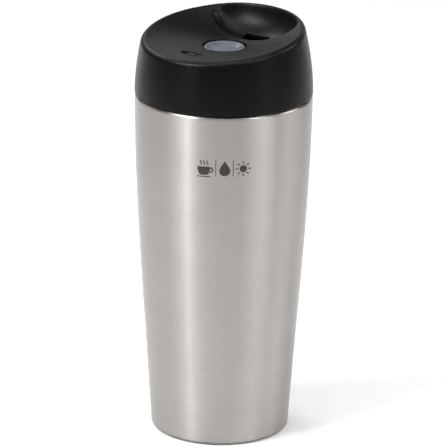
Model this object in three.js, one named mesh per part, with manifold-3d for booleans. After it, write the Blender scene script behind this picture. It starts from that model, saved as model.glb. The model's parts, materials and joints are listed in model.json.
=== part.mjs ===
// Insulated travel mug: double-walled steel cup with a screw-in lid, a push-button valve
// and a slanted drinking lid. Millimetres, +Z up, origin at the centre of the base,
// +X towards the drinking side. Every piece is one closed solid with its own name.

import * as THREE from 'three';
import { mergeVertices } from 'three/addons/utils/BufferGeometryUtils.js';
import Module from 'manifold-3d';

const wasm = await Module();
wasm.setup();

// ---------------------------------------------------------------- driving dimensions

const GAP = 0.3; // clearance left between pieces that touch on the real object
const TURN = Math.PI * 2;
const WIDE = 36; // sides of a full turn on wide pieces
const MIDDLE = 28; // the same on the button's pieces
const SMALL = 18; // and on the smallest

// Cup
const RIM_Z = 162.3; // top of the steel rim
const SHELL_WALL = 0.6;
const LINER_WALL = 0.5;
const VACUUM_GAP = 3.1; // between the outside of the liner and the inside of the shell
const SHELL_BOTTOM_Z = 1.3;
const LINER_FLOOR_Z = 9.0; // inside floor of the cup
const NECK_R = 37.4; // bore of the threaded neck
const SEAT_R = 35.5; // bore that the mouth seal presses on
const SEAT_TOP_Z = 146.8;
const SEAT_BOTTOM_Z = 139.5;
const BASE_R = 32.25; // outside radius at the bottom edge
const MOUTH_R = 41.05; // outside radius at the rim

// Screw thread, single start
const LEAD = 5.0;
const THREAD_Z = 152.0; // start of the neck's ridge
const NECK_TURNS = 0.7;
const LID_TURNS = 0.9;
const LID_THREAD_START = -0.15; // in turns, before the start of the neck's ridge
const THREAD_PLAY = 1.55; // axial distance from the neck's ridge down to the lid's
const RIDGE_FOOT = 0.95; // half width of a ridge at its foot
const RIDGE_CREST = 0.45; // half width of a ridge at its crest

// Lid cover
const SKIRT_Z = 163.0; // lower edge of the skirt
const SKIRT_R = 41.15;
const SKIRT_PULL_IN = 5.0; // how much the skirt narrows over SKIRT_RISE
const SKIRT_RISE = 34.0;
const SKIRT_POWER = 1.85;
const COVER_WALL = 2.2;
const DISH_Z = 184.26; // height of the dish on the axis
const DISH_FALL = 0.068; // slope of the dish down towards the drinking side
const DISH_EDGE_Z = 192.06; // mean height of the dish's edge
const DISH_TILT = 0.147; // slope of the edge up towards the drinking side
const DISH_R = 36.6;
const DISH_POWER = 1.9;
const EDGE_ROUND = 1.3;
// The scoop is a squarish ellipsoid, leaning back, inside a lip wall turned about the axis.
const SCOOP = { x: 22.6, z: 196.1, a: 12.3, b: 23.9, c: 14.6, tilt: -0.407, power: 2.5 };
const LIP_WALL = { centreR: 14.95, centreZ: 200.0, radius: 20.35 };
const SPOUT = { nearX: 20.4, farX: 25.85, half: 6.7, corner: 1.1 };
const BUTTON_HOLE_R = 10.1;
const VENT = { x: -23.2, y: 0.6, a: 4.3, b: 8.9, c: 4.0, depth: 1.1, holeR: 0.5, holeY: -3.0 };
const COLLAR = { outer: 13.8, inner: 12.3, bottom: 176.5, top: 181.2 };

// Lid insert
const INSERT_FLOOR_Z = 141.0;
const INSERT_FLOOR = 2.2;
const CORE_R = 36.0; // foot of the lid's thread
const PORT_R = 7.5;

// Push button, latch and valve
const TUBE_R = 9.8; // bore of the latch housing
const TUBE_OUTER_R = 11.6;
const TUBE_FLOOR_Z = 153.0;
const PRESS = 6.0; // full travel of the button
const LATCHED_OPEN = 4.5; // travel at which the button stays down
const LUG_Z = 169.8;
const LUG_R = 0.7;
const BUTTON_R = 9.45;
const BUTTON_TOP_Z = 184.5;
const BUTTON_HOLLOW = 1.45; // depth of the finger hollow in the button's top
const SOCKET_TOP_Z = 181.5; // ceiling of the socket that takes the plunger
const STEM_R = 2.6;
const SHANK_R = 3.0;

// ---------------------------------------------------------------- materials

const steel = { color: 0xb9b6b0, roughness: 0.32, metalness: 1.0 };
const innerSteel = { color: 0xa9a7a2, roughness: 0.4, metalness: 1.0 };
const blackPlastic = { color: 0x1d1d1e, roughness: 0.55, metalness: 0.0 };
const greyPlastic = { color: 0x3a3c3f, roughness: 0.5, metalness: 0.0 };
const buttonPlastic = { color: 0x6d7380, roughness: 0.25, metalness: 0.0 };
const whitePlastic = { color: 0xd8d8d4, roughness: 0.5, metalness: 0.0 };
const silicone = { color: 0x8d9296, roughness: 0.7, metalness: 0.0 };
const blackSilicone = { color: 0x161617, roughness: 0.75, metalness: 0.0 };
const springSteel = { color: 0xc2c2c0, roughness: 0.25, metalness: 1.0 };
const getterAlloy = { color: 0x5b5c5e, roughness: 0.8, metalness: 0.6 };

// ---------------------------------------------------------------- helpers

const group = new THREE.Group();

function v2(r, z) {
  return new THREE.Vector2(r, z);
}

// A geometry as a manifold solid, turned inside out first if its faces point in.
function solid(geometry) {
  const bare = geometry.clone();
  bare.deleteAttribute('normal');
  bare.deleteAttribute('uv');
  const merged = mergeVertices(bare, 1e-5);
  const position = merged.attributes.position;
  const a = new THREE.Vector3();
  const b = new THREE.Vector3();
  const c = new THREE.Vector3();
  const triangles = [];
  let volume = 0;
  for (let i = 0; i < merged.index.count; i += 3) {
    const corner = [0, 1, 2].map((k) => merged.index.getX(i + k));
    if (corner[0] === corner[1] || corner[1] === corner[2] || corner[2] === corner[0]) continue;
    a.fromBufferAttribute(position, corner[0]);
    b.fromBufferAttribute(position, corner[1]);
    c.fromBufferAttribute(position, corner[2]);
    volume += a.dot(b.cross(c)) / 6;
    triangles.push(corner);
  }
  const ordered = triangles.map((t) => (volume > 0 ? t : [t[0], t[2], t[1]]));
  return new wasm.Manifold(new wasm.Mesh({
    numProp: 3,
    vertProperties: new Float32Array(position.array),
    triVerts: new Uint32Array(ordered.flat()),
  }));
}

function geometryOf(manifold) {
  const mesh = manifold.getMesh();
  const geometry = new THREE.BufferGeometry();
  geometry.setAttribute('position', new THREE.BufferAttribute(new Float32Array(mesh.vertProperties), 3));
  geometry.setIndex(new THREE.BufferAttribute(new Uint32Array(mesh.triVerts), 1));
  geometry.computeVertexNormals();
  return geometry;
}

function addPiece(name, manifold, look) {
  const mesh = new THREE.Mesh(geometryOf(manifold), new THREE.MeshStandardMaterial(look));
  mesh.name = name;
  group.add(mesh);
  return mesh;
}

// A profile of [radius, height] points turned about the Z axis.
function latheGeometry(points, segments) {
  const profile = points.map((p) => (p.isVector2 ? p : v2(p[0], p[1])));
  const onAxis = profile[0].x === 0 && profile[profile.length - 1].x === 0;
  const closed = onAxis ? profile : [...profile, profile[0].clone()];
  const geometry = new THREE.LatheGeometry(closed, segments);
  geometry.rotateX(Math.PI / 2);
  return geometry;
}

function turned(points, segments = MIDDLE) {
  return solid(latheGeometry(points, segments));
}

function cylinder(radius, bottom, top, x = 0, y = 0, segments = MIDDLE) {
  const geometry = new THREE.CylinderGeometry(radius, radius, top - bottom, segments);
  geometry.rotateX(Math.PI / 2);
  geometry.translate(x, y, (top + bottom) / 2);
  return solid(geometry);
}

// A trapezoid ridge wound round the axis: foot and crest are radii, z is the height of
// its centre line at its start. Both ends run out into the wall it stands on.
function threadRidge(foot, crest, z, startTurn, turns) {
  const bury = 0.3 * Math.sign(foot - crest);
  const section = new THREE.Shape([
    v2(foot + bury, -RIDGE_FOOT),
    v2(crest, -RIDGE_CREST),
    v2(crest, RIDGE_CREST),
    v2(foot + bury, RIDGE_FOOT),
  ]);
  const steps = Math.round(turns * 28);
  const geometry = new THREE.ExtrudeGeometry(section, { depth: 1, steps, bevelEnabled: false });
  const position = geometry.attributes.position;
  const fade = 0.06;
  for (let i = 0; i < position.count; i += 1) {
    const along = position.getZ(i);
    const rise = THREE.MathUtils.clamp(Math.min(along, 1 - along) / fade, 0.05, 1);
    const radius = foot + bury + (position.getX(i) - foot - bury) * rise;
    const turn = startTurn + along * turns;
    const angle = turn * TURN;
    const height = z + turn * LEAD + position.getY(i) * (0.4 + 0.6 * rise);
    position.setXYZ(i, radius * Math.cos(angle), radius * Math.sin(angle), height);
  }
  return solid(geometry);
}

// ---------------------------------------------------------------- cup

const shellCurve = new THREE.CubicBezierCurve(
  v2(BASE_R, SHELL_BOTTOM_Z),
  v2(35.9, 56),
  v2(40.9, 112),
  v2(MOUTH_R, RIM_Z - 1.3),
);

// Outside radius of the shell at a height, found by halving along the curve.
function shellRadius(z) {
  let low = 0;
  let high = 1;
  for (let i = 0; i < 30; i += 1) {
    const middle = (low + high) / 2;
    if (shellCurve.getPoint(middle).y < z) low = middle;
    else high = middle;
  }
  return shellCurve.getPoint((low + high) / 2).x;
}

// Points of the shell's wall, moved inwards by a distance, from one height to another.
function wallPoints(inset, from, to, count) {
  const points = [];
  for (let i = 0; i <= count; i += 1) {
    const z = from + (to - from) * (i / count);
    points.push([shellRadius(z) - inset, z]);
  }
  return points;
}

function outerShell() {
  const roll = 1.3; // radius of the rolled top edge
  const edge = [30, 60, 90].map((degrees) => {
    const angle = THREE.MathUtils.degToRad(degrees);
    return [MOUTH_R - roll + roll * Math.cos(angle), RIM_Z - roll + roll * Math.sin(angle)];
  });
  return turned([
    ...wallPoints(0, SHELL_BOTTOM_Z, RIM_Z - roll, 8),
    ...edge,
    [MOUTH_R - roll, RIM_Z - SHELL_WALL],
    ...wallPoints(SHELL_WALL, RIM_Z - 2 * roll, SHELL_BOTTOM_Z, 6),
  ], WIDE);
}

// The liner's inside surface from the floor to the mouth, and the same surface moved out.
function linerSurface(out) {
  const body = SHELL_WALL + VACUUM_GAP + LINER_WALL - out;
  const shoulder = shellRadius(SEAT_BOTTOM_Z - 4) - body;
  return [
    [0, LINER_FLOOR_Z - out],
    [24.5, LINER_FLOOR_Z - out],
    [27.4 + out * 0.4, LINER_FLOOR_Z + 1.2 - out],
    ...wallPoints(body, LINER_FLOOR_Z + 5, SEAT_BOTTOM_Z - 4, 5),
    [shoulder - 0.4, SEAT_BOTTOM_Z - 2.2],
    [SEAT_R + out, SEAT_BOTTOM_Z],
    [SEAT_R + out, SEAT_TOP_Z + out * 0.5],
    [NECK_R + out, SEAT_TOP_Z + 1.5 + out * 0.5],
    [NECK_R + out, RIM_Z - 1.6 - out],
    [NECK_R + 0.5 + out * 0.6, RIM_Z - out],
  ];
}

function innerLiner() {
  const lip = MOUTH_R - 1.3 - GAP;
  const profile = [
    ...linerSurface(0),
    [lip, RIM_Z],
    [lip, RIM_Z - LINER_WALL],
    ...linerSurface(LINER_WALL).reverse(),
  ];
  const ridge = threadRidge(NECK_R, NECK_R - 0.9, THREAD_Z, 0, NECK_TURNS);
  return turned(profile, WIDE).add(ridge);
}

function basePlate() {
  return turned([
    [0, 4.2],
    [30.9, 4.2],
    [30.9, 1.6],
    [31.3, 1.6],
    [31.3, 4.8],
    [0, 4.8],
  ], WIDE);
}

// Pressed steel foot: the flat ring that the mug stands on, round a raised centre.
function baseCap() {
  return turned([
    [0, 1.6],
    [20, 1.6],
    [22, 0],
    [30.9, 0],
    [31.7, 0.6],
    [31.7, 1.0],
    [30.5, 1.0],
    [30.5, 3.6],
    [29.9, 3.6],
    [29.9, 0.6],
    [22.4, 0.6],
    [20.4, 2.2],
    [0, 2.2],
  ], WIDE);
}

function vacuumSeal() {
  return turned([[0, 2.7], [1.4, 2.9], [2.4, 3.5], [2.6, 3.9], [0, 3.9]], SMALL);
}

function getterPill() {
  return turned([[0, 6.0], [3.6, 6.0], [4.0, 6.4], [4.0, 7.2], [3.6, 7.6], [0, 7.6]], SMALL);
}

function getterClip() {
  return turned([[2.6, 5.2], [4.9, 5.2], [4.9, 8.2], [4.3, 8.2], [4.3, 5.7], [2.6, 5.7]], SMALL);
}

addPiece('outer_shell', outerShell(), steel);
addPiece('inner_liner', innerLiner(), innerSteel);
addPiece('base_plate', basePlate(), innerSteel);
addPiece('base_cap', baseCap(), steel);
addPiece('vacuum_seal', vacuumSeal(), silicone);
addPiece('getter_pill', getterPill(), getterAlloy);
addPiece('getter_clip', getterClip(), innerSteel);

// ---------------------------------------------------------------- lid cover

function skirtRadius(z) {
  const share = Math.max(0, (z - SKIRT_Z) / SKIRT_RISE);
  return SKIRT_R - SKIRT_PULL_IN * share ** SKIRT_POWER;
}

// Height of the dish at a radius, where cosine is that of the angle from the +X axis.
function dishHeight(radius, cosine) {
  const rise = DISH_EDGE_Z - DISH_Z + (DISH_TILT + DISH_FALL) * DISH_R * cosine;
  return DISH_Z - DISH_FALL * radius * cosine + rise * (radius / DISH_R) ** DISH_POWER;
}

// Where the skirt and the dish meet.
function edgeCorner(cosine) {
  let z = DISH_EDGE_Z;
  for (let i = 0; i < 40; i += 1) z = dishHeight(skirtRadius(z), cosine);
  return v2(skirtRadius(z), z);
}

// Outline of the cover in one half plane: skirt, rounded edge, dish. The inset moves it
// into the wall, which gives the inside of the cover.
function coverOutline(cosine, bottom, inset) {
  const corner = edgeCorner(cosine);
  const points = [v2(0, bottom)];
  const skirtSteps = 5;
  const top = corner.y - EDGE_ROUND;
  for (let i = 0; i <= skirtSteps; i += 1) {
    const z = bottom + (top - bottom) * (i / skirtSteps);
    points.push(v2(skirtRadius(z) - inset, Math.min(z, top - inset)));
  }
  const inner = corner.x - EDGE_ROUND;
  const round = new THREE.QuadraticBezierCurve(
    v2(skirtRadius(top), top),
    corner,
    v2(inner, dishHeight(inner, cosine)),
  );
  [0.33, 0.67, 1].forEach((t) => {
    const p = round.getPoint(t);
    points.push(v2(p.x - inset, p.y - inset));
  });
  const dishSteps = 6;
  for (let i = 1; i <= dishSteps; i += 1) {
    const radius = inner * (1 - i / dishSteps);
    points.push(v2(Math.max(0, radius - inset * (1 - i / dishSteps)), dishHeight(radius, cosine) - inset));
  }
  return points;
}

// A turned solid whose outline changes with the angle, to follow the slanted edge.
function slantedSolid(bottom, inset, segments) {
  const first = coverOutline(1, bottom, inset);
  const geometry = new THREE.LatheGeometry(first, segments);
  const position = geometry.attributes.position;
  for (let j = 0; j <= segments; j += 1) {
    const angle = (j % segments) * (TURN / segments);
    const outline = coverOutline(Math.cos(angle), bottom, inset);
    outline.forEach((p, k) => {
      const height = p.x < 1e-6 && k > 0 ? DISH_Z - inset : p.y;
      const index = j * first.length + k;
      position.setXYZ(index, p.x * Math.cos(angle), p.x * Math.sin(angle), height);
    });
  }
  return solid(geometry);
}

// The space that the scoop takes out, grown by a distance.
function scoopSolid(grow, segments) {
  const geometry = new THREE.SphereGeometry(1, segments, Math.round(segments / 2));
  geometry.rotateX(Math.PI / 2);
  const position = geometry.attributes.position;
  for (let i = 0; i < position.count; i += 1) {
    const angle = Math.atan2(position.getY(i), position.getX(i));
    const sum = Math.abs(Math.cos(angle)) ** SCOOP.power + Math.abs(Math.sin(angle)) ** SCOOP.power;
    const stretch = sum ** (-1 / SCOOP.power);
    position.setXY(i, position.getX(i) * stretch, position.getY(i) * stretch);
  }
  geometry.scale(SCOOP.a + grow, SCOOP.b + grow, SCOOP.c + grow);
  geometry.rotateY(-SCOOP.tilt);
  geometry.translate(SCOOP.x, 0, SCOOP.z);
  const radius = LIP_WALL.radius + grow;
  const wall = [[0, LIP_WALL.centreZ - radius]];
  for (let i = 0; i <= 8; i += 1) {
    const angle = (i / 8) * (Math.PI / 2);
    wall.push([
      LIP_WALL.centreR + radius * Math.sin(angle),
      LIP_WALL.centreZ - radius * Math.cos(angle),
    ]);
  }
  wall.push([LIP_WALL.centreR + radius, 216], [0, 216]);
  return solid(geometry).intersect(turned(wall, WIDE));
}

// Oblong slot with rounded corners, right through the floor of the scoop.
function spoutCutter() {
  const { nearX, farX, half, corner } = SPOUT;
  const shape = new THREE.Shape();
  shape.absarc(farX - corner, half - corner, corner, 0, TURN / 4, false);
  shape.absarc(nearX + corner, half - corner, corner, TURN / 4, TURN / 2, false);
  shape.absarc(nearX + corner, corner - half, corner, TURN / 2, TURN * 0.75, false);
  shape.absarc(farX - corner, corner - half, corner, TURN * 0.75, TURN, false);
  const depth = DISH_Z + 4 - (SKIRT_Z + 10);
  const options = { depth, bevelEnabled: false, curveSegments: 4 };
  const geometry = new THREE.ExtrudeGeometry(shape, options);
  geometry.translate(0, 0, SKIRT_Z + 10);
  return solid(geometry);
}

// Oval dimple opposite the spout, with the air hole at one end.
function ventCutter() {
  const surface = dishHeight(-VENT.x, -1);
  const geometry = new THREE.SphereGeometry(1, 28, 14);
  geometry.rotateX(Math.PI / 2);
  geometry.scale(VENT.a, VENT.b, VENT.c);
  geometry.translate(VENT.x, VENT.y, surface - VENT.depth + VENT.c);
  const hole = cylinder(VENT.holeR, surface - 6, surface, VENT.x, VENT.holeY, 12);
  return solid(geometry).add(hole);
}

function lidCover() {
  const rib = { z: 168.0, bottomR: 39.5, innerR: 37.0, topZ: 169.2 };
  const pocket = turned([
    [0, SKIRT_Z - 1],
    [rib.bottomR, SKIRT_Z - 1],
    [rib.bottomR, rib.z],
    [rib.innerR, rib.z],
    [rib.innerR, rib.topZ],
    [0, rib.topZ],
  ], WIDE);
  const collar = cylinder(COLLAR.outer, COLLAR.bottom, DISH_Z);
  const inside = slantedSolid(rib.topZ - 0.01, COVER_WALL, WIDE)
    .subtract(scoopSolid(COVER_WALL, 28))
    .subtract(collar);
  return slantedSolid(SKIRT_Z, 0, WIDE)
    .subtract(pocket)
    .subtract(inside)
    .subtract(scoopSolid(0, WIDE))
    .subtract(cylinder(COLLAR.inner, COLLAR.bottom - 1, COLLAR.top))
    .subtract(cylinder(BUTTON_HOLE_R, COLLAR.top - 1, DISH_Z + 10))
    .subtract(spoutCutter())
    .subtract(ventCutter());
}

addPiece('lid_cover', lidCover(), blackPlastic);

// ---------------------------------------------------------------- lid insert and seals

function lidInsert() {
  const floorTop = INSERT_FLOOR_Z + INSERT_FLOOR;
  const body = turned([
    [PORT_R, INSERT_FLOOR_Z],
    [34.0, INSERT_FLOOR_Z],
    [34.6, INSERT_FLOOR_Z + 0.6],
    [34.6, 142.2],
    [33.0, 142.2],
    [33.0, 145.6],
    [34.9, 145.6],
    [34.9, 147.0],
    [CORE_R, 148.6],
    [CORE_R, 162.2],
    [36.6, 164.1],
    [39.1, 164.1],
    [39.1, 166.0],
    [35.6, 166.0],
    [34.0, 163.4],
    [34.0, 148.6],
    [31.2, 145.4],
    [31.2, floorTop],
    [PORT_R, floorTop],
  ], WIDE);
  const ridge = threadRidge(CORE_R, CORE_R + 1.0, THREAD_Z - THREAD_PLAY, LID_THREAD_START, LID_TURNS);
  return body.add(ridge);
}

function mouthSeal() {
  return turned([
    [33.3, 142.5],
    [34.3, 142.5],
    [35.2, 143.2],
    [34.5, 143.8],
    [34.5, 144.1],
    [35.2, 144.7],
    [34.6, 145.3],
    [33.3, 145.3],
  ], WIDE);
}

function coverSeal() {
  return turned([[36.9, 166.3], [38.5, 166.3], [38.5, 167.7], [36.9, 167.7]], WIDE);
}

function rimGasket() {
  return turned([[37.9, 162.6], [39.2, 162.6], [39.2, 163.8], [37.9, 163.8]], WIDE);
}

addPiece('lid_insert', lidInsert(), greyPlastic);
addPiece('mouth_seal', mouthSeal(), silicone);
addPiece('cover_seal', coverSeal(), silicone);
addPiece('rim_gasket', rimGasket(), blackSilicone);

// ---------------------------------------------------------------- latch housing

// Cam groove in the housing's bore. Over half a turn the lug goes down to full travel,
// back up to the latched position, down again and back to the top.
function camHeight(angle) {
  const stops = [0, PRESS, LATCHED_OPEN, PRESS, 0];
  const quarter = (((angle / TURN) * 2 * 4) % 4 + 4) % 4;
  const index = Math.floor(quarter);
  return -THREE.MathUtils.lerp(stops[index], stops[index + 1], quarter - index);
}

function camGroove() {
  const half = 1.25;
  const geometry = latheGeometry([
    [TUBE_R - 0.6, LUG_Z - half],
    [TUBE_R + 0.9, LUG_Z - half],
    [TUBE_R + 0.9, LUG_Z + half],
    [TUBE_R - 0.6, LUG_Z + half],
  ], 48);
  const position = geometry.attributes.position;
  for (let i = 0; i < position.count; i += 1) {
    const angle = Math.atan2(position.getY(i), position.getX(i));
    position.setZ(i, position.getZ(i) + camHeight(angle));
  }
  return solid(geometry);
}

function latchHousing() {
  const tube = turned([
    [6.2, TUBE_FLOOR_Z - 2],
    [6.2, TUBE_FLOOR_Z],
    [TUBE_OUTER_R, TUBE_FLOOR_Z],
    [TUBE_OUTER_R, 179.0],
    [12.0, 179.4],
    [12.0, 180.9],
    [TUBE_R, 180.9],
    [TUBE_R, TUBE_FLOOR_Z + 2],
    [SHANK_R + 0.25, TUBE_FLOOR_Z + 2],
    [SHANK_R + 0.25, TUBE_FLOOR_Z + 0.2],
    [4.7, TUBE_FLOOR_Z + 0.2],
    [4.7, TUBE_FLOOR_Z - 2],
  ]);
  return tube.subtract(camGroove());
}

function stemSeal() {
  return turned([[2.85, 151.3], [4.4, 151.3], [4.4, 152.9], [2.85, 152.9]], SMALL);
}

function sealRetainer() {
  return turned([[3.2, 149.5], [7.6, 149.5], [7.6, 152.6], [6.6, 152.6], [6.6, 150.7], [3.2, 150.7]], SMALL);
}

addPiece('latch_housing', latchHousing(), greyPlastic);
addPiece('stem_seal', stemSeal(), silicone);
addPiece('seal_retainer', sealRetainer(), whitePlastic);

// ---------------------------------------------------------------- button and valve

function buttonCap() {
  const top = BUTTON_TOP_Z;
  return turned([
    [0, top - BUTTON_HOLLOW],
    [6.1, top - BUTTON_HOLLOW],
    [6.9, top - BUTTON_HOLLOW + 0.25],
    [8.4, top - 0.15],
    [8.8, top],
    [9.15, top - 0.12],
    [BUTTON_R, top - 0.6],
    [BUTTON_R, 177.0],
    [BUTTON_R - 1.4, 177.0],
    [BUTTON_R - 1.4, SOCKET_TOP_Z - 0.2],
    [4.9, SOCKET_TOP_Z - 0.2],
    [4.9, 176.6],
    [SHANK_R + GAP, 176.6],
    [SHANK_R + GAP, SOCKET_TOP_Z],
    [0, SOCKET_TOP_Z],
  ]);
}

function plunger() {
  return turned([
    [0, 166.0],
    [1.7, 166.0],
    [1.7, 160.0],
    [SHANK_R, 160.0],
    [SHANK_R, 171.6],
    [9.4, 171.6],
    [9.4, 172.6],
    [8.2, 172.6],
    [8.2, 174.8],
    [9.4, 174.8],
    [9.4, 176.2],
    [SHANK_R, 176.2],
    [SHANK_R, 181.1],
    [0, 181.1],
  ]);
}

function buttonSeal() {
  return turned([[8.5, 172.9], [9.3, 172.9], [9.7, 173.7], [9.3, 174.5], [8.5, 174.5]]);
}

function springSeat() {
  return turned([[SHANK_R + 0.3, 167.0], [8.4, 167.0], [8.4, 168.2], [SHANK_R + 0.3, 168.2]]);
}

// Ring with two lugs that ride in the housing's cam groove.
function latchRotor() {
  const ring = turned([[SHANK_R + 0.3, 168.5], [8.6, 168.5], [8.6, 171.1], [SHANK_R + 0.3, 171.1]]);
  const lug = new THREE.CylinderGeometry(LUG_R, LUG_R, 21.0, 12);
  lug.rotateZ(Math.PI / 2);
  lug.translate(0, 0, LUG_Z);
  return ring.add(solid(lug).subtract(cylinder(6, 160, 180)));
}

class Helix extends THREE.Curve {
  constructor(radius, bottom, top, turns) {
    super();
    Object.assign(this, { radius, bottom, top, turns });
  }

  getPoint(t) {
    const angle = t * this.turns * TURN;
    const height = this.bottom + (this.top - this.bottom) * t;
    return new THREE.Vector3(this.radius * Math.cos(angle), this.radius * Math.sin(angle), height);
  }
}

function returnSpring() {
  const wire = 0.4; // radius of the wire
  const corners = [0, 1, 2, 3, 4, 5].map((k) => v2(wire, 0).rotateAround(v2(0, 0), (k * TURN) / 6));
  const section = new THREE.Shape(corners);
  const turns = 5;
  const bottom = TUBE_FLOOR_Z + 2 + GAP + wire;
  const path = new Helix(6.6, bottom, 167.0 - GAP - wire, turns);
  const options = { extrudePath: path, steps: turns * 14, bevelEnabled: false };
  return solid(new THREE.ExtrudeGeometry(section, options));
}

function valveStem() {
  return turned([
    [0, 134.4],
    [1.6, 134.4],
    [1.6, 139.3],
    [STEM_R, 139.3],
    [STEM_R, 159.7],
    [1.4, 159.7],
    [1.4, 165.7],
    [0, 165.7],
  ], SMALL);
}

function valveDisc() {
  return turned([
    [1.9, 137.3],
    [9.2, 137.3],
    [9.7, 137.8],
    [9.7, 138.6],
    [5.0, 138.6],
    [4.4, 139.0],
    [1.9, 139.0],
  ]);
}

function valveSeal() {
  return turned([[7.8, 138.9], [9.5, 138.9], [9.5, 140.1], [9.0, 140.7], [8.3, 140.7], [7.8, 140.1]]);
}

function stemNut() {
  return turned([[1.9, 134.9], [3.3, 134.9], [3.6, 135.2], [3.6, 136.7], [3.3, 137.0], [1.9, 137.0]], 6);
}

addPiece('button_cap', buttonCap(), buttonPlastic);
addPiece('plunger', plunger(), whitePlastic);
addPiece('button_seal', buttonSeal(), silicone);
addPiece('spring_seat', springSeat(), springSteel);
addPiece('return_spring', returnSpring(), springSteel);
addPiece('latch_rotor', latchRotor(), greyPlastic);
addPiece('valve_stem', valveStem(), springSteel);
addPiece('valve_disc', valveDisc(), greyPlastic);
addPiece('valve_seal', valveSeal(), silicone);
addPiece('stem_nut', stemNut(), springSteel);

export default group;
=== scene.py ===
"""Insulated travel mug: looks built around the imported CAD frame.

Lengths are millimetres inside the shape functions and become metres when a mesh is made.
The frame's +X is the drinking side and +Z is up.
"""

import json
import math

import bpy
import numpy as np
from mathutils import Matrix, Vector


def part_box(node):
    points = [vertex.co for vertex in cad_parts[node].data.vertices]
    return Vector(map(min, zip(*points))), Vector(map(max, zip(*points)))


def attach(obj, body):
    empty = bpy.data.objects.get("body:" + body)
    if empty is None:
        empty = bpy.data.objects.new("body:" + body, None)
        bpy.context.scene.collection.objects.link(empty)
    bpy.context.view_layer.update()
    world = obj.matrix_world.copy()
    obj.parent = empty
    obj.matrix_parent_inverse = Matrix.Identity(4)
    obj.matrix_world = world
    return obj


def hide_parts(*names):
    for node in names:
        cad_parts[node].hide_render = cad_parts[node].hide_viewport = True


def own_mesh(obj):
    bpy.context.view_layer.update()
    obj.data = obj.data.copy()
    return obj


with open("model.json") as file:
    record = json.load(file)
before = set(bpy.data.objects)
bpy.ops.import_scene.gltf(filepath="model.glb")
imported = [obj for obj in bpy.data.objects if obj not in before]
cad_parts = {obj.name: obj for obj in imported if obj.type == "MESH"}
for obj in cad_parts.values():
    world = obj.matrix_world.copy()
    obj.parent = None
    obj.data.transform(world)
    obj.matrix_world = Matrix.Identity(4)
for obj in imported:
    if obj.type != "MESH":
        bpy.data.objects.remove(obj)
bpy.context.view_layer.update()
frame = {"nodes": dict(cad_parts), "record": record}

NODES = frame["nodes"]
RECORD = frame["record"]
SLOT_OF = {s["node"]: s["material_slot"] for s in RECORD["subparts"]}
BODY_OF = {n: b for b, names in RECORD["behaviour"]["bodies"].items() for n in names}
MM = 0.001
TURN = 2 * math.pi
CAMERA_AZIMUTH = -52.0
CAMERA_ELEVATION = 18.9


# ------------------------------------------------------------------ node materials

class Nodes:
    """Short calls for building a material's node tree."""

    def __init__(self, name):
        self.material = bpy.data.materials.new(name)
        self.material.use_nodes = True
        self.tree = self.material.node_tree
        self.shader = self.tree.nodes["Principled BSDF"]

    def add(self, kind, **values):
        node = self.tree.nodes.new(kind)
        for key, value in values.items():
            setattr(node, key, value)
        return node

    def link(self, source, target):
        self.tree.links.new(source, target)

    def set(self, **values):
        for key, value in values.items():
            self.shader.inputs[key.replace("_", " ")].default_value = value

    def place(self, scale):
        """Object coordinates stretched by a scale, in repeats per metre."""
        coordinates = self.add("ShaderNodeTexCoord")
        mapping = self.add("ShaderNodeMapping")
        mapping.inputs["Scale"].default_value = scale
        self.link(coordinates.outputs["Object"], mapping.inputs["Vector"])
        return mapping.outputs["Vector"]

    def noise(self, scale, detail=3.0, roughness=0.5):
        texture = self.add("ShaderNodeTexNoise")
        texture.inputs["Scale"].default_value = 1.0
        texture.inputs["Detail"].default_value = detail
        texture.inputs["Roughness"].default_value = roughness
        self.link(self.place(scale), texture.inputs["Vector"])
        return texture.outputs["Fac"]

    def ramp(self, value, stops):
        ramp = self.add("ShaderNodeValToRGB")
        elements = ramp.color_ramp.elements
        while len(elements) < len(stops):
            elements.new(0.5)
        for element, (position, color) in zip(elements, stops):
            element.position = position
            element.color = (*color, 1.0)
        self.link(value, ramp.inputs["Fac"])
        return ramp.outputs["Color"]

    def between(self, value, low, high, low_in=0.3, high_in=0.7):
        """A grey value mapped to a number between low and high."""
        spread = self.add("ShaderNodeMapRange")
        limits = {"From Min": low_in, "From Max": high_in, "To Min": low, "To Max": high}
        for key, number in limits.items():
            spread.inputs[key].default_value = number
        self.link(value, spread.inputs["Value"])
        return spread.outputs["Result"]

    def math(self, operation, a, b):
        node = self.add("ShaderNodeMath", operation=operation)
        for socket, value in zip(node.inputs, (a, b)):
            if isinstance(value, (int, float)):
                socket.default_value = value
            else:
                self.link(value, socket)
        return node.outputs["Value"]

    def color(self, value, stops):
        """Base colour from a grey value; stops are (position, colour)."""
        self.link(self.ramp(value, stops), self.shader.inputs["Base Color"])

    def roughness(self, value, low, high):
        self.link(self.between(value, low, high), self.shader.inputs["Roughness"])

    def relief(self, height, depth):
        """Surface relief whose grey value runs over a depth in metres."""
        bump = self.add("ShaderNodeBump")
        bump.inputs["Distance"].default_value = depth
        bump.inputs["Strength"].default_value = 1.0
        self.link(height, bump.inputs["Height"])
        self.link(bump.outputs["Normal"], self.shader.inputs["Normal"])


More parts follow.
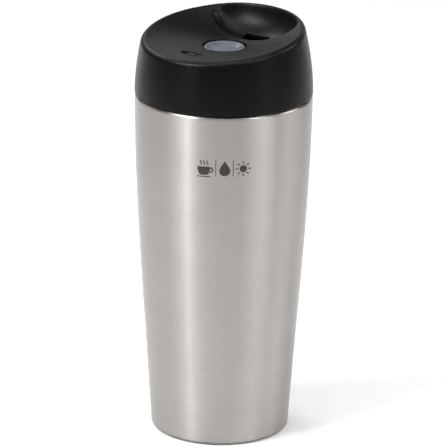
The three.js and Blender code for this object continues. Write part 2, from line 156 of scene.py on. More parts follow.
def brushed_steel(name, light, dark, roughness, streak_depth, anisotropy):
    """Steel brushed round the vertical axis: streaks long round the body, thin along it."""
    n = Nodes(name)
    fine = n.noise((170, 170, 5200), 4.0, 0.65)
    coarse = n.noise((70, 70, 1500), 3.0, 0.6)
    cloud = n.noise((28, 28, 60), 2.0, 0.5)
    lines = n.math("ADD", n.math("MULTIPLY", fine, 0.75), n.math("MULTIPLY", coarse, 0.25))
    tone = n.math("ADD", n.math("MULTIPLY", lines, 0.8), n.math("MULTIPLY", cloud, 0.2))
    n.color(tone, [(0.36, dark), (0.64, light)])
    n.roughness(lines, roughness - 0.04, roughness + 0.06)
    n.relief(lines, streak_depth)
    tangent = n.add("ShaderNodeTangent", direction_type="RADIAL", axis="Z")
    n.link(tangent.outputs["Tangent"], n.shader.inputs["Tangent"])
    n.set(Metallic=1.0, Anisotropic=anisotropy, Anisotropic_Rotation=0.25)
    return n.material


def plain_metal(name, light, dark, roughness, grain):
    """Dull metal with a grain of so many spots per metre."""
    n = Nodes(name)
    spots = n.noise((grain, grain, grain), 4.0, 0.6)
    n.color(spots, [(0.35, dark), (0.65, light)])
    n.roughness(spots, roughness - 0.05, roughness + 0.07)
    n.relief(spots, 0.00001)
    n.set(Metallic=1.0)
    return n.material


def moulded_plastic(name, light, dark, roughness, grain_depth, ior=1.45):
    """Moulded plastic with a fine spark-eroded grain and faint flow marks."""
    n = Nodes(name)
    grain = n.noise((1500, 1500, 1500), 2.5, 0.6)
    soft = n.noise((500, 500, 500), 2.0, 0.5)
    flow = n.noise((24, 24, 30), 2.0, 0.5)
    height = n.math("ADD", n.math("MULTIPLY", grain, 0.7), n.math("MULTIPLY", soft, 0.3))
    n.color(flow, [(0.3, dark), (0.7, light)])
    n.roughness(height, roughness - 0.07, roughness + 0.07)
    n.relief(height, grain_depth)
    n.set(IOR=ior)
    return n.material


def smoky_plastic(name, light, dark):
    """Translucent plastic: light soaks in under a smooth skin."""
    n = Nodes(name)
    cloud = n.noise((120, 120, 60), 2.0, 0.5)
    n.color(cloud, [(0.3, dark), (0.7, light)])
    fine = n.noise((900, 900, 900), 3.0, 0.6)
    n.roughness(fine, 0.3, 0.38)
    n.relief(fine, 0.000002)
    n.set(Subsurface_Weight=0.35, Subsurface_Radius=(0.002, 0.0022, 0.0026), Subsurface_Scale=1.0)
    n.set(Specular_IOR_Level=0.18)
    return n.material


def silicone(name, light, dark):
    n = Nodes(name)
    cloud = n.noise((260, 260, 260), 3.0, 0.6)
    n.color(cloud, [(0.3, dark), (0.7, light)])
    n.roughness(cloud, 0.5, 0.62)
    n.relief(cloud, 0.00002)
    n.set(Subsurface_Weight=0.2, Subsurface_Radius=(0.001, 0.001, 0.001))
    return n.material


def printed_ink(name, light, dark):
    n = Nodes(name)
    speck = n.noise((1800, 1800, 1800), 3.0, 0.6)
    n.color(speck, [(0.3, dark), (0.7, light)])
    n.roughness(speck, 0.38, 0.5)
    return n.material


def studio_floor(name, light, dark):
    """Pale paper that glows a little beyond the reach of the lamps, so that it stays pale."""
    glow_start, glow_end = 0.6, 1.6
    glow_strength = 0.5
    n = Nodes(name)
    fibre = n.noise((60, 60, 60), 3.0, 0.6)
    n.color(fibre, [(0.3, dark), (0.7, light)])
    distance = n.add("ShaderNodeVectorMath", operation="LENGTH")
    n.link(n.place((1, 1, 1)), distance.inputs[0])
    glow = n.between(distance.outputs["Value"], 0.0, glow_strength, glow_start, glow_end)
    n.link(glow, n.shader.inputs["Emission Strength"])
    n.set(Roughness=0.95, Emission_Color=(1.0, 1.0, 1.0, 1.0), Specular_IOR_Level=0.1)
    return n.material


def grey(level):
    return (level, level, level)


# Finish of each material slot: its kind, its light and dark tone, and what that kind needs.
FINISHES = {
    "shell_steel": (brushed_steel, (0.446, 0.426, 0.407), (0.375, 0.359, 0.343), 0.38, 0.000004, 0.9),
    "liner_steel": (brushed_steel, (0.62, 0.61, 0.6), (0.5, 0.49, 0.48), 0.36, 0.000004, 0.5),
    "seal_solder": (plain_metal, grey(0.5), grey(0.34), 0.5, 900),
    "getter_alloy": (plain_metal, (0.22, 0.22, 0.23), grey(0.12), 0.75, 2600),
    "spring_steel": (plain_metal, (0.72, 0.72, 0.71), (0.6, 0.6, 0.59), 0.22, 500),
    "black_plastic": (moulded_plastic, (0.0042, 0.004, 0.0042), (0.0032, 0.003, 0.0032),
                      0.32, 0.00012, 1.2),
    "grey_plastic": (moulded_plastic, (0.05, 0.051, 0.053), (0.038, 0.039, 0.041), 0.45, 0.00001),
    "white_plastic": (moulded_plastic, (0.7, 0.7, 0.67), (0.62, 0.62, 0.6), 0.4, 0.000006),
    "button_plastic": (smoky_plastic, (0.085, 0.094, 0.113), (0.07, 0.078, 0.095)),
    "silicone": (silicone, (0.5, 0.51, 0.5), (0.42, 0.43, 0.43)),
    "black_silicone": (silicone, grey(0.02), grey(0.013)),
}
MATERIALS = {slot: kind(slot, *values) for slot, (kind, *values) in FINISHES.items()}


# ------------------------------------------------------------------ meshes

def make_piece(name, vertices, faces, slot, body, normals=None):
    """A mesh object from points in millimetres, with its finish and the body it rides on."""
    mesh = bpy.data.meshes.new(name)
    mesh.from_pydata((np.asarray(vertices, float) * MM).tolist(), [], faces)
    mesh.materials.append(MATERIALS[slot])
    mesh.polygons.foreach_set("use_smooth", [True] * len(mesh.polygons))
    if normals is not None:
        mesh.normals_split_custom_set_from_vertices(np.asarray(normals, float).tolist())
    mesh.update()
    piece = bpy.data.objects.new(name, mesh)
    bpy.context.scene.collection.objects.link(piece)
    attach(piece, body)
    return piece


# Tolerances of the outline finder, in mm.
ON_PLANE = 0.004
SAME_POINT = 0.01

# Degrees that one piece of a corner's arc and of a gentle curve may turn, and the least bend.
ARC_PIECE = 18.0
CURVE_PIECE = 8.0
LEAST_BEND = 0.05


def outline(node, degrees=-90.0):
    """The section of a turned CAD node in one half plane: [radius, height] in order, in mm.
    The loop is open at the axis where the node touches it, and closed otherwise."""
    mesh = NODES[node].data
    points = np.array([v.co for v in mesh.vertices], float) / MM
    angle = math.radians(degrees)
    along = points[:, 0] * math.cos(angle) + points[:, 1] * math.sin(angle)
    across = points[:, 1] * math.cos(angle) - points[:, 0] * math.sin(angle)
    corners, corner_of = [], {}
    for i in np.flatnonzero((np.abs(across) < ON_PLANE) & (along > -ON_PLANE)):
        here = np.array([max(along[i], 0.0), points[i, 2]])
        match = [k for k, c in enumerate(corners) if np.abs(c - here).max() < SAME_POINT]
        if not match:
            corners.append(here)
        corner_of[int(i)] = match[0] if match else len(corners) - 1
    links = {}
    for edge in mesh.edges:
        a, b = (corner_of.get(v) for v in edge.vertices)
        if a is None or b is None or a == b:
            continue
        if max(corners[a][0], corners[b][0]) > ON_PLANE:
            links.setdefault(a, set()).add(b)
            links.setdefault(b, set()).add(a)
    ends = sorted(k for k, v in links.items() if len(v) == 1)
    loop = [ends[0] if ends else min(links)]
    while True:
        following = sorted(k for k in links[loop[-1]] if k not in loop)
        if not following:
            break
        loop.append(following[0])
    return np.array([corners[k] for k in loop]), not ends


def turning(points, closed):
    """Angle in degrees by which the outline turns at each point, 0 at open ends."""
    before = points - np.roll(points, 1, axis=0)
    after = np.roll(points, -1, axis=0) - points
    cross = before[:, 0] * after[:, 1] - before[:, 1] * after[:, 0]
    dot = (before * after).sum(1)
    angles = np.degrees(np.arctan2(cross, dot))
    if not closed:
        angles[0] = angles[-1] = 0.0
    return angles


def soften(points, closed, radius, smooth_below=14.0, step=3.0, detail=None):
    """The outline with its corners rounded by arcs and its gentle stretches made curves.
    detail gives a finer step for a stretch between two points, where it needs one."""
    sharpest = 150.0
    share_of_side = 0.45
    count = len(points)
    angles = np.abs(turning(points, closed))
    reach = np.zeros(count)
    lengths = np.linalg.norm(np.roll(points, -1, axis=0) - points, axis=1)
    for i in range(count):
        if (closed or 0 < i < count - 1) and angles[i] >= smooth_below:
            tangent = radius * math.tan(math.radians(min(angles[i], sharpest)) / 2)
            reach[i] = min(tangent, share_of_side * lengths[i - 1], share_of_side * lengths[i])
    result = []
    for i in range(count):
        here = points[i]
        if reach[i] > 0:
            before, after = points[i - 1] - here, points[(i + 1) % count] - here
            first = here + before / np.linalg.norm(before) * reach[i]
            last = here + after / np.linalg.norm(after) * reach[i]
            pieces = max(2, int(angles[i] / ARC_PIECE))
            for t in np.linspace(0, 1, pieces + 1):
                result.append((1 - t) ** 2 * first + 2 * t * (1 - t) * here + t ** 2 * last)
        else:
            result.append(here)
        if i < count - 1 or closed:
            result.extend(curve_between(points, angles, reach, i, smooth_below, step, detail))
    return np.array(result)


def curve_between(points, angles, reach, i, smooth_below, step, detail):
    """Extra points between point i and the next, on a curve where the outline bends gently."""
    count = len(points)
    j = (i + 1) % count
    gentle_start = LEAST_BEND < angles[i] < smooth_below
    gentle_end = LEAST_BEND < angles[j] < smooth_below
    way = (points[j] - points[i]) / max(np.linalg.norm(points[j] - points[i]), 1e-9)
    a, b = points[i] + way * reach[i], points[j] - way * reach[j]
    length = np.linalg.norm(b - a)
    bend = gentle_start * angles[i] + gentle_end * angles[j]
    finer = detail(a, b) if detail else None
    pieces = max(int(length / (finer or step)), int(bend / CURVE_PIECE))
    if pieces < 2 or not (gentle_start or gentle_end or finer):
        return []
    before = points[i - 1] if gentle_start else a - (b - a)
    after = points[(j + 1) % count] if gentle_end else b + (b - a)
    pull_a = (b - before) * length / (length + np.linalg.norm(a - before))
    pull_b = (after - a) * length / (length + np.linalg.norm(after - b))
    rows = []
    for t in np.arange(1, pieces) / pieces:
        rows.append((2 * t ** 3 - 3 * t ** 2 + 1) * a + (t ** 3 - 2 * t ** 2 + t) * pull_a
                    + (-2 * t ** 3 + 3 * t ** 2) * b + (t ** 3 - t ** 2) * pull_b)
    return rows


def turned_mesh(points, closed, segments, shape=None):
    """Vertices and faces of an outline turned about the Z axis. shape may move a whole
    section at an angle, for a thread or a dent."""
    following = np.roll(points, -1, axis=0)
    area = (points[:, 0] * following[:, 1] - following[:, 0] * points[:, 1]).sum()
    if area < 0:
        points = points[::-1]
    count = len(points)
    vertices = []
    index = np.zeros((segments, count), int)
    for s in range(segments):
        angle = s * TURN / segments
        section = shape(points, angle) if shape else points
        for k, (radius, height) in enumerate(section):
            if points[k, 0] < 1e-3 and s:
                index[s, k] = index[0, k]
                continue
            index[s, k] = len(vertices)
            vertices.append((radius * math.cos(angle), radius * math.sin(angle), height))
    faces = []
    for s in range(segments):
        t = (s + 1) % segments
        for k in range(count if closed else count - 1):
            m = (k + 1) % count
            ring = [int(v) for v in (index[s, k], index[t, k], index[t, m], index[s, m])]
            face = [v for n, v in enumerate(ring) if v not in ring[:n]]
            if len(face) > 2:
                faces.append(face)
    return np.array(vertices), faces


def weighted_normals(vertices, faces):
    """Vertex normals weighted by face area, which keeps flats flat beside small fillets."""
    total = np.zeros((len(vertices), 3))
    for size in (3, 4):
        ring = np.array([f for f in faces if len(f) == size], int)
        if not len(ring):
            continue
        diagonal = vertices[ring[:, 2]] - vertices[ring[:, 0]]
        other = vertices[ring[:, size - 1]] - vertices[ring[:, 1]]
        normal = np.cross(diagonal, other)
        for n in range(size):
            np.add.at(total, ring[:, n], normal)
    return total / np.maximum(np.linalg.norm(total, axis=1, keepdims=True), 1e-12)


def refine(node, radius=0.2, segments=128, smooth_below=14.0, step=3.0, detail=None, shape=None,
           degrees=-90.0):
    """A smooth turned piece with rounded corners, on the outline of its CAD node."""
    points, closed = outline(node, degrees)
    smooth = soften(points, closed, radius, smooth_below, step, detail)
    vertices, faces = turned_mesh(smooth, closed, segments, shape)
    normals = weighted_normals(vertices, faces)
    piece = make_piece(node + "_fine", vertices, faces, SLOT_OF[node], BODY_OF[node], normals)
    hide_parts(node)


# ------------------------------------------------------------------ turned pieces

THREAD_LEAD = 5.0
RIDGE_HALF = 0.95  # half the width of a thread's ridge at its foot
RIDGE_FLANK = 0.5  # how far up its height the ridge slopes
RUN_OUT = 0.06  # share of a thread's length over which it fades at each end
ON_WALL = 0.06  # how near a point lies to a wall's radius to belong to it


def smooth_step(share):
    return share * share * (3 - 2 * share)


def thread_shape(foot, crest, z, start, turns):
    """A section changer that raises a rounded ridge, wound round the axis, on a wall."""
    def shape(points, angle):
        section = points.copy()
        belongs = np.abs(points[:, 0] - foot) < ON_WALL
        first = math.ceil(start - angle / TURN)
        for lap in (first, first + 1):
            turn = angle / TURN + lap
            if not start <= turn <= start + turns:
                continue
            share = (turn - start) / turns
            fade = smooth_step(np.clip(min(share, 1 - share) / RUN_OUT, 0, 1))
            away = np.abs(points[:, 1] - z - THREAD_LEAD * turn)
            rise = smooth_step(np.clip((RIDGE_HALF - away) / RIDGE_FLANK, 0, 1) * fade)
            section[:, 0] += belongs * rise * (crest - foot)
        return section
    return shape


def fine_on_wall(wall, low, high, step):
    """A detail rule: a fine step where a stretch lies on a wall of that radius."""
    def rule(a, b):
        middle = (a + b) / 2
        near = abs(a[0] - wall) < ON_WALL and abs(b[0] - wall) < ON_WALL
        return step if near and low < middle[1] < high else None
    return rule


def refine_threads():
    """The cup's neck with its ridge inwards, and the lid's insert with its ridge outwards."""
    ridge_step = 0.16
    neck, neck_crest = 37.4, 36.5
    insert, insert_crest = 36.0, 37.0
    refine("inner_liner", radius=0.35, segments=256, step=2.5,
           detail=fine_on_wall(neck, 148, 162, ridge_step),
           shape=thread_shape(neck, neck_crest, z=152.0, start=0.0, turns=0.7))
    refine("lid_insert", radius=0.3, segments=256, degrees=-80,
           detail=fine_on_wall(insert, 148, 163, ridge_step),
           shape=thread_shape(insert, insert_crest, z=150.45, start=-0.15, turns=0.9))


refine("outer_shell", radius=0.2, segments=256, smooth_below=35, step=2.5)
refine_threads()
refine("base_cap", radius=0.4, segments=192)
refine("button_cap", radius=0.2, segments=160, smooth_below=45, step=0.4)
for small in ("base_plate", "vacuum_seal", "getter_pill", "getter_clip", "mouth_seal", "cover_seal",
              "rim_gasket", "stem_seal", "seal_retainer", "plunger", "button_seal", "spring_seat",
              "valve_stem", "valve_disc", "valve_seal"):
    refine(small, radius=0.25, segments=96)


# ------------------------------------------------------------------ return spring

def make_spring():
    """Coil with closed ends."""
    low, high = (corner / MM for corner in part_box("return_spring"))
    wire = 0.4
    radius = high.x - wire
    turns, steps, sides = 5.0, 360, 12
    share = np.linspace(0, 1, steps + 1)
    closed_end = 0.75 / turns
    rise = np.clip((share - closed_end) / (1 - 2 * closed_end), 0, 1)
    height = low.z + wire + (high.z - low.z - 2 * wire) * rise
    angle = share * turns * TURN
    vertices = []
    for s in range(steps + 1):
        for k in range(sides):
            around_wire = k * TURN / sides
            out = radius + wire * math.cos(around_wire)
            vertices.append((out * math.cos(angle[s]), out * math.sin(angle[s]),
                             height[s] + wire * math.sin(around_wire)))
    faces = [[s * sides + k, (s + 1) * sides + k, (s + 1) * sides + (k + 1) % sides,
              s * sides + (k + 1) % sides] for s in range(steps) for k in range(sides)]
    faces.append(list(range(sides)))
    faces.append([steps * sides + k for k in reversed(range(sides))])
    piece = make_piece("return_spring_fine", vertices, faces, "spring_steel", "lid")
    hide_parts("return_spring")
    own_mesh(piece)


# ------------------------------------------------------------------ printed mark

def bezier(points, t):
    """Point at a share t of the cubic curve through four control points."""
    a, b, c, d = (np.array(p, float) for p in points)
    return (1 - t) ** 3 * a + 3 * t * (1 - t) ** 2 * b + 3 * t * t * (1 - t) * c + t ** 3 * d


# The steel wall's side: radius and height of the curve's four control points.
SHELL_CURVE = [(32.25, 1.3), (35.9, 56.0), (40.9, 112.0), (41.05, 161.0)]
MARK_HEIGHT = 138.5
INK_LIFT = 0.03


def on_shell(across, up):
    """A point of the flat mark, wrapped on the steel wall where it faces the front."""
    height = MARK_HEIGHT + up
    low, high = 0.0, 1.0
    for _ in range(24):
        middle = (low + high) / 2
        if bezier(SHELL_CURVE, middle)[1] < height:
            low = middle
        else:
            high = middle
    radius = bezier(SHELL_CURVE, low)[0] + INK_LIFT
    angle = math.radians(CAMERA_AZIMUTH - 90) + across / radius
    return radius * math.cos(angle), radius * math.sin(angle), height


def stroke(path, width):
    """A band of constant width along a path."""
    path = np.array(path, float)
    way = np.gradient(path, axis=0)
    way /= np.linalg.norm(way, axis=1, keepdims=True)
    side = np.stack([-way[:, 1], way[:, 0]], 1) * width / 2
    rows = [path + side, path, path - side]
    points = np.concatenate(rows)
    count = len(path)
    faces = [[r * count + i + 1, r * count + i, (r + 1) * count + i, (r + 1) * count + i + 1]
             for r in (0, 1) for i in range(count - 1)]
    return points, faces


def filled(outline_points, rings=7):
    """A filled shape, as rings shrunk towards its centre so that it can follow the wall."""
    outline_points = np.array(outline_points, float)
    centre = outline_points.mean(0)
    count = len(outline_points)
    points = [centre]
    for r in range(1, rings + 1):
        points.extend(centre + (outline_points - centre) * r / rings)
    faces = [[0, 1 + i, 1 + (i + 1) % count] for i in range(count)]
    for r in range(rings - 1):
        for i in range(count):
            j = (i + 1) % count
            first, second = 1 + r * count, 1 + (r + 1) * count
            faces.append([first + i, second + i, second + j, first + j])
    return np.array(points), faces


def cup_outline():
    """A rounded cup: straight rim, sides that curve in to a narrower foot."""
    side = [(3.0, 0.6), (3.0, -1.6), (2.4, -3.4), (0.9, -3.4)]
    right = [bezier(side, t) for t in np.linspace(0, 1, 14)]
    left = [(-x, y) for x, y in reversed(right)]
    top = [(x, side[0][1]) for x in np.linspace(-side[0][0], side[0][0], 12)[1:-1]]
    return [tuple(p) for p in right] + left + top


def drop_outline():
    """A water drop: a point on top of a round belly."""
    radius, centre = 2.5, -1.2
    shoulder = [(0.0, 3.7), (0.5, 2.2), (radius, 0.4), (radius, centre)]
    right = [bezier(shoulder, t) for t in np.linspace(0, 1, 12)]
    belly = [(radius * math.cos(a), centre + radius * math.sin(a))
             for a in np.linspace(0, -math.pi, 20)[1:]]
    left = [(-x, y) for x, y in reversed(right[1:-1])]
    return [tuple(p) for p in right] + belly + left


def cup_parts():
    """A cup with its handle, three wisps of steam and a saucer."""
    handle = [(2.6 + 1.5 * math.sin(a), -1.0 + 1.15 * math.cos(a)) for a in np.linspace(0.15, 3.0, 18)]
    saucer = [(x, -4.15) for x in np.linspace(-3.2, 3.2, 16)]
    parts = [filled(cup_outline()), stroke(handle, 0.62)]
    for x in (-1.4, 0.1, 1.6):
        wisp = [(x + 0.28 * math.sin(t * TURN), 1.35 + 2.2 * t) for t in np.linspace(0, 1, 14)]
        parts.append(stroke(wisp, 0.5))
    return parts + [stroke(saucer, 0.45)]


def sun_parts():
    """A disc with eight beams."""
    disc = [(1.7 * math.cos(a), 1.7 * math.sin(a)) for a in np.linspace(0, TURN, 33)[:-1]]
    parts = [filled(disc)]
    for a in np.arange(8) * TURN / 8:
        beam = [(r * math.cos(a), r * math.sin(a)) for r in np.linspace(2.35, 3.6, 5)]
        parts.append(stroke(beam, 0.55))
    return parts


def make_mark():
    """Plain pictograms printed on the wall: a steaming cup, a drop and a sun."""
    cup_x, drop_x, sun_x = -8.7, 0.9, 9.4
    sun_y = -0.3
    line = [(0.0, y) for y in np.linspace(-3.9, 3.9, 16)]
    parts = [(part, cup_x, 0.0) for part in cup_parts()]
    parts.append((filled(drop_outline()), drop_x, 0.0))
    parts += [(stroke(line, 0.35), line_x, 0.0) for line_x in (-3.2, 4.7)]
    parts += [(part, sun_x, sun_y) for part in sun_parts()]
    vertices, faces = [], []
    for (points, rings), dx, dy in parts:
        start = len(vertices)
        vertices.extend(on_shell(x + dx, y + dy) for x, y in points)
        for ring in rings:
            a, b, c = (np.array(vertices[start + i]) for i in ring[:3])
            face = [start + i for i in ring]
            outward = np.cross(b - a, c - a) @ np.array([a[0], a[1], 0.0])
            faces.append(face if outward > 0 else face[::-1])
    piece = make_piece("printed_mark", vertices, faces, "black_plastic", "mug")
    piece.data.materials[0] = printed_ink("printed_ink", (0.022, 0.021, 0.021), grey(0.012))


make_spring()
make_mark()


# ------------------------------------------------------------------ lid cover

SKIRT_FOOT_Z = 163.0
SKIRT_FOOT_R = 41.15
DISH_R = 36.6  # radius at which the dish's rise is measured
WALL = 2.2  # thickness of the cover
VENT_X, VENT_Y = -23.2, 0.6
VENT_SURFACE = 185.81  # height of the dish at the vent


def skirt_radius(z):
    """The skirt's outside, which draws in towards the top."""
    height, draw, power = 34.0, 5.0, 1.85
    return SKIRT_FOOT_R - draw * np.clip((z - SKIRT_FOOT_Z) / height, 0, None) ** power


def dish_height(x, y):
    """Height of the lid's dished top, highest at its +X edge."""
    radius = np.sqrt(x * x + y * y)
    rise = 7.8 * radius / DISH_R + 0.215 * x
    return 184.26 - 0.068 * x + rise * (radius / DISH_R) ** 0.9


def intersect_round(a, b, radius):
    """Largest of two distances, with the edge between them rounded."""
    u, v = np.maximum(a + radius, 0), np.maximum(b + radius, 0)
    return np.minimum(-radius, np.maximum(a, b)) + np.sqrt(u * u + v * v)


def cut_round(a, b, radius):
    """The first shape without the second, with the edge rounded."""
    return intersect_round(a, -b, radius)


def scoop_distance(x, y, z):
    """Distance to the scoop's space: a squarish ellipsoid that leans back, inside a lip
    wall turned about the lid's axis."""
    centre_x, centre_z = 22.6, 196.1
    half_x, half_y, half_z = 12.3, 23.9, 14.6
    tilt = -0.407
    power = 2.5
    wall_centre_r, wall_top_z, wall_r = 14.95, 200.0, 20.35
    corner = 3.0
    u = (x - centre_x) * math.cos(tilt) + (z - centre_z) * math.sin(tilt)
    w = (z - centre_z) * math.cos(tilt) - (x - centre_x) * math.sin(tilt)
    plan = (np.abs(u / half_x) ** power + np.abs(y / half_y) ** power) ** (1 / power)
    level = np.sqrt(plan * plan + (w / half_z) ** 2)
    steep = np.sqrt((u / half_x ** 2) ** 2 + (y / half_y ** 2) ** 2 + (w / half_z ** 2) ** 2)
    bowl = level * (level - 1) / np.maximum(steep, 0.02)
    out = np.maximum(np.sqrt(x * x + y * y) - wall_centre_r, 0)
    wall = np.sqrt(out ** 2 + np.minimum(z - wall_top_z, 0) ** 2) - wall_r
    return intersect_round(bowl, wall, corner)


def slot_distance(x, y, z):
    """The spout: an oblong slot with rounded corners."""
    centre_x = 23.125
    half_x, half_y = 2.725, 6.7
    corner = 1.1
    bottom = 172.0
    u, v = np.abs(x - centre_x) - half_x + corner, np.abs(y) - half_y + corner
    plan = np.hypot(np.maximum(u, 0), np.maximum(v, 0)) + np.minimum(np.maximum(u, v), 0) - corner
    return np.maximum(plan, bottom - z)


def oval_distance(u, v, half_u, half_v):
    """Distance, nearly, to an upright oval column."""
    level = np.hypot(u / half_u, v / half_v)
    return level * (level - 1) / np.maximum(np.hypot(u / half_u ** 2, v / half_v ** 2), 0.02)


def vent_distance(x, y, z):
    """The air vent: an oval moat round an island that is nearly flush."""
    depth, island_drop = 0.9, 0.15
    u, v = x - VENT_X, y - VENT_Y
    pocket = intersect_round(oval_distance(u, v, 3.05, 6.1), VENT_SURFACE - depth - z, 0.3)
    island = intersect_round(oval_distance(u, v, 1.35, 3.2), z - VENT_SURFACE + island_drop, 0.5)
    return cut_round(pocket, island, 0.1)


def air_hole_distance(x, y, z):
    radius, hole_y, depth = 0.5, -4.3, 6.0
    return np.maximum(np.hypot(x - VENT_X, y - hole_y) - radius, VENT_SURFACE - depth - z)


def hollow_distance(x, y, z, radius, dish, scoop):
    """The space under the cover: inside its wall, round the guide tube's collar, and the
    seats of the insert and the guide tube."""
    insert_z, insert_r = 168.0, 39.5
    groove_z, groove_r = 169.3, 37.0
    chamber_z = 169.2
    collar_r, collar_z = 13.8, 176.5
    tube_r, tube_low, tube_high = 12.3, 176.0, 181.2
    collar = np.maximum(radius - collar_r, collar_z - z)
    inside = np.maximum(radius - skirt_radius(z) + WALL, z - dish + WALL)
    inside = np.maximum(inside, np.maximum(chamber_z - z, WALL - scoop))
    inside = np.maximum(inside, -collar)
    seats = np.maximum(radius - insert_r, z - insert_z)
    seats = np.minimum(seats, np.maximum(radius - groove_r, z - groove_z))
    tube = np.maximum(radius - tube_r, np.maximum(z - tube_high, tube_low - z))
    return np.minimum(inside, np.minimum(seats, tube))


def cover_distance(x, y, z):
    """Signed distance to the lid cover in mm, negative in the plastic."""
    rim_round, rim_round_front = 2.6, 1.9
    hole_r = 10.1
    radius = np.sqrt(x * x + y * y)
    dish = dish_height(x, y)
    scoop = scoop_distance(x, y, z)
    # Heights and radii are divided by the surface's slope, so that they measure distance.
    skirt = (radius - skirt_radius(z)) / 1.03
    slope = 1 + 0.28 * (radius / DISH_R) ** 1.8 * (1 + x / DISH_R)
    top = (z - dish) / slope
    # 1 where the rim faces +X, 0 on its sides and back.
    front = smooth_step(np.clip((x / np.maximum(radius, 1) - 0.5) / 0.45, 0, 1))
    rounding = rim_round - (rim_round - rim_round_front) * front
    shell = intersect_round(intersect_round(skirt, top, rounding), SKIRT_FOOT_Z - z, 0.3)
    shell = cut_round(shell, scoop, 0.9)
    shell = cut_round(shell, radius - hole_r, 0.35)
    shell = cut_round(shell, slot_distance(x, y, z), 0.35)
    shell = cut_round(shell, vent_distance(x, y, z), 0.3)
    shell = cut_round(shell, air_hole_distance(x, y, z), 0.15)
    return cut_round(shell, hollow_distance(x, y, z, radius, dish, scoop), 0.25)


def surface_nets(distance, low, high, pitch):
    """A quad mesh of the zero level of a distance function inside a box."""
    axes = [np.arange(a, b + pitch, pitch) for a, b in zip(low, high)]
    x, y, z = np.meshgrid(*axes, indexing="ij", sparse=True)
    values = distance(x, y, z)
    inside = values < 0
    shape = np.array(values.shape) - 1
    total = np.zeros((*shape, 3))
    hits = np.zeros(shape, int)
    corners = [(i, j, k) for i in (0, 1) for j in (0, 1) for k in (0, 1)]
    for first in corners:
        for axis in range(3):
            if first[axis]:
                continue
            second = tuple(c + (n == axis) for n, c in enumerate(first))
            a = values[tuple(slice(c, c + n) for c, n in zip(first, shape))]
            b = values[tuple(slice(c, c + n) for c, n in zip(second, shape))]
            crossing = (a < 0) != (b < 0)
            share = np.where(crossing, a / np.where(crossing, a - b, 1), 0)
            hits += crossing
            for n in range(3):
                total[..., n] += crossing * (first[n] + (share if n == axis else 0))
    active = hits > 0
    index = np.full(shape, -1)
    index[active] = np.arange(int(active.sum()))
    cells = np.argwhere(active)
    points = (cells + total[active] / hits[active][:, None]) * pitch + np.array(low)
    quads = []
    for axis in range(3):
        u, v = (axis + 1) % 3, (axis + 2) % 3
        near = np.take(inside, range(inside.shape[axis] - 1), axis)
        far = np.take(inside, range(1, inside.shape[axis]), axis)
        for flip, mask in ((False, near & ~far), (True, ~near & far)):
            edges = np.argwhere(mask)
            keep = (edges[:, u] > 0) & (edges[:, v] > 0)
            keep &= (edges[:, u] < shape[u]) & (edges[:, v] < shape[v])
            edges = edges[keep]
            ring = []
            for du, dv in ((0, 0), (1, 0), (1, 1), (0, 1)):
                cell = edges.copy()
                cell[:, u] -= 1 - du
                cell[:, v] -= 1 - dv
                ring.append(index[cell[:, 0], cell[:, 1], cell[:, 2]])
            ring = np.stack(ring, 1)
            quads.append(ring[:, ::-1] if flip else ring)
    return points, np.concatenate(quads)


def slope_of(distance, points, step=0.02):
    """Gradient of the distance at each point."""
    sides = []
    for n in range(3):
        ahead, behind = points.copy(), points.copy()
        ahead[:, n] += step
        behind[:, n] -= step
        sides.append((distance(*ahead.T) - distance(*behind.T)) / (2 * step))
    return np.stack(sides, 1)


def settle(distance, points, rounds=4, longest_move=0.2):
    """Points moved onto the zero level, with the surface's direction at each."""
    for _ in range(rounds):
        slope = slope_of(distance, points)
        steepness = np.maximum((slope ** 2).sum(1), 0.05)
        move = (distance(*points.T) / steepness)[:, None] * slope
        points = points - np.clip(move, -longest_move, longest_move)
    slope = slope_of(distance, points)
    return points, slope / np.maximum(np.linalg.norm(slope, axis=1, keepdims=True), 1e-9)


def make_cover():
    pitch = 0.42
    low, high = (-42, -42, 162.5), (42, 42, 197.5)
    points, quads = surface_nets(cover_distance, low, high, pitch)
    points, normals = settle(cover_distance, points)
    piece = make_piece("lid_cover_fine", points, quads.tolist(), "black_plastic", "lid", normals)
    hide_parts("lid_cover")


make_cover()


# ------------------------------------------------------------------ studio

def look_at(obj, target, roll=0.0):
    """The object turned to face a point."""
    direction = Vector(target) - obj.location
    turn = direction.to_track_quat("-Z", "Y").to_matrix().to_4x4()
    place = Matrix.Translation(obj.location)
    obj.matrix_world = place @ turn @ Matrix.Rotation(roll, 4, "Z")


def around(azimuth, elevation, distance, height):
    """A point at a distance from the mug's axis; azimuth is the camera's kind of azimuth."""
    a, e = math.radians(azimuth), math.radians(elevation)
    return Vector((math.sin(a) * math.cos(e) * distance,
                   -math.cos(a) * math.cos(e) * distance,
                   height + math.sin(e) * distance))


def area_light(name, place, target, size, power):
    light = bpy.data.lights.new(name, "AREA")
    light.shape = "RECTANGLE"
    light.size, light.size_y = size
    light.energy = power
    lamp = bpy.data.objects.new(name, light)
    bpy.context.scene.collection.objects.link(lamp)
    lamp.location = place
    lamp.visible_camera = False
    look_at(lamp, target)


def make_floor():
    half = 6.0
    corners = [(-half, -half, 0), (half, -half, 0), (half, half, 0), (-half, half, 0)]
    mesh = bpy.data.meshes.new("floor")
    mesh.from_pydata(corners, [], [(0, 1, 2, 3)])
    mesh.materials.append(studio_floor("floor_paper", grey(0.96), grey(0.93)))
    floor = bpy.data.objects.new("floor", mesh)
    bpy.context.scene.collection.objects.link(floor)


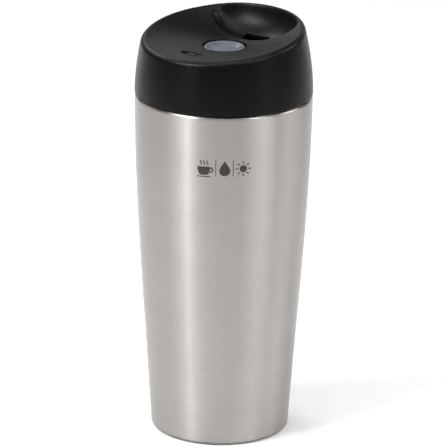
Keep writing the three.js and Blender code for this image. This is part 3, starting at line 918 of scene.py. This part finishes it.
def make_camera():
    """A long lens from far off. Shift and roll set the mug's place in the frame."""
    distance, aim_height = 1.8, 0.090
    roll_degrees = 0.762
    data = bpy.data.cameras.new("camera")
    data.sensor_width = 36.0
    data.lens = 309.9
    data.shift_x = 0.0048
    data.shift_y = 0.0375
    data.clip_end = 50.0
    camera = bpy.data.objects.new("camera", data)
    bpy.context.scene.collection.objects.link(camera)
    camera.location = around(CAMERA_AZIMUTH, CAMERA_ELEVATION, distance, aim_height)
    look_at(camera, (0.0, 0.0, aim_height), roll=math.radians(roll_degrees))
    bpy.context.scene.camera = camera


PANEL_DISTANCE = 0.8

# Upright panels that face the mug. The steel shows them as its bright bands.
# Name, azimuth from the camera, height of its centre, width, tall, watts.
PANELS = [
    ("left_strip", -45.8, 0.60, 0.10, 1.2, 1.31),
    ("right_panel", 56.5, 0.60, 0.29, 1.2, 1.25),
    ("back_left", -147.0, 0.24, 0.26, 0.5, 0.20),
    ("back_right", 150.0, 0.24, 0.24, 0.5, 0.16),
    ("back", 176.0, 0.52, 0.70, 0.3, 0.50),
]

# Boxes overhead. Name, azimuth from the camera, distance from the mug's axis, height, how far
# out and how high its aim is, width, tall, watts.
BOXES = [
    ("key_left", -63.0, 0.75, 1.00, 0.0, 0.18, 0.50, 0.26, 11.5),
    ("key_right", 50.0, 0.75, 0.90, 0.0, 0.18, 0.25, 0.30, 3.2),
    ("overhead", 0.0, 0.001, 0.58, 0.0, 0.0, 0.30, 0.30, 0.8),
    ("front_top", 0.0, 0.30, 0.90, 0.10, 0.0, 0.60, 0.40, 1.5),
    ("floor_left", -125.0, 1.00, 1.00, 0.3, 0.0, 0.60, 0.60, 1.9),
    ("floor_right", 102.0, 1.15, 0.80, 0.2, 0.0, 0.60, 0.50, 5.2),
    ("behind_left", -150.0, 1.20, 1.10, 0.6, 0.0, 0.60, 0.60, 5.8),
    ("behind_right", 150.0, 1.20, 1.10, 0.6, 0.0, 0.60, 0.60, 0.5),
    ("floor_far", 180.0, 1.40, 0.35, 0.55, 0.0, 1.60, 0.30, 0.75),
]


def make_lights():
    for name, azimuth, height, width, tall, watts in PANELS:
        place = around(CAMERA_AZIMUTH + azimuth, 0.0, PANEL_DISTANCE, height)
        area_light(name, place, (0, 0, height), (width, tall), watts)
    for name, azimuth, distance, height, aim_out, aim_height, width, tall, watts in BOXES:
        place = around(CAMERA_AZIMUTH + azimuth, 0.0, distance, height)
        aim = around(CAMERA_AZIMUTH + azimuth, 0.0, aim_out, aim_height)
        area_light(name, place, aim, (width, tall), watts)


def make_world():
    world = bpy.data.worlds.new("studio")
    world.use_nodes = True
    background = world.node_tree.nodes["Background"]
    background.inputs["Color"].default_value = (1.0, 1.0, 1.0, 1.0)
    background.inputs["Strength"].default_value = 0.04
    bpy.context.scene.world = world


make_floor()
make_camera()
make_lights()
make_world()
bpy.context.scene.view_settings.view_transform = "Standard"

for name, node in NODES.items():
    node.data.materials.clear()
    node.data.materials.append(MATERIALS[SLOT_OF[name]])
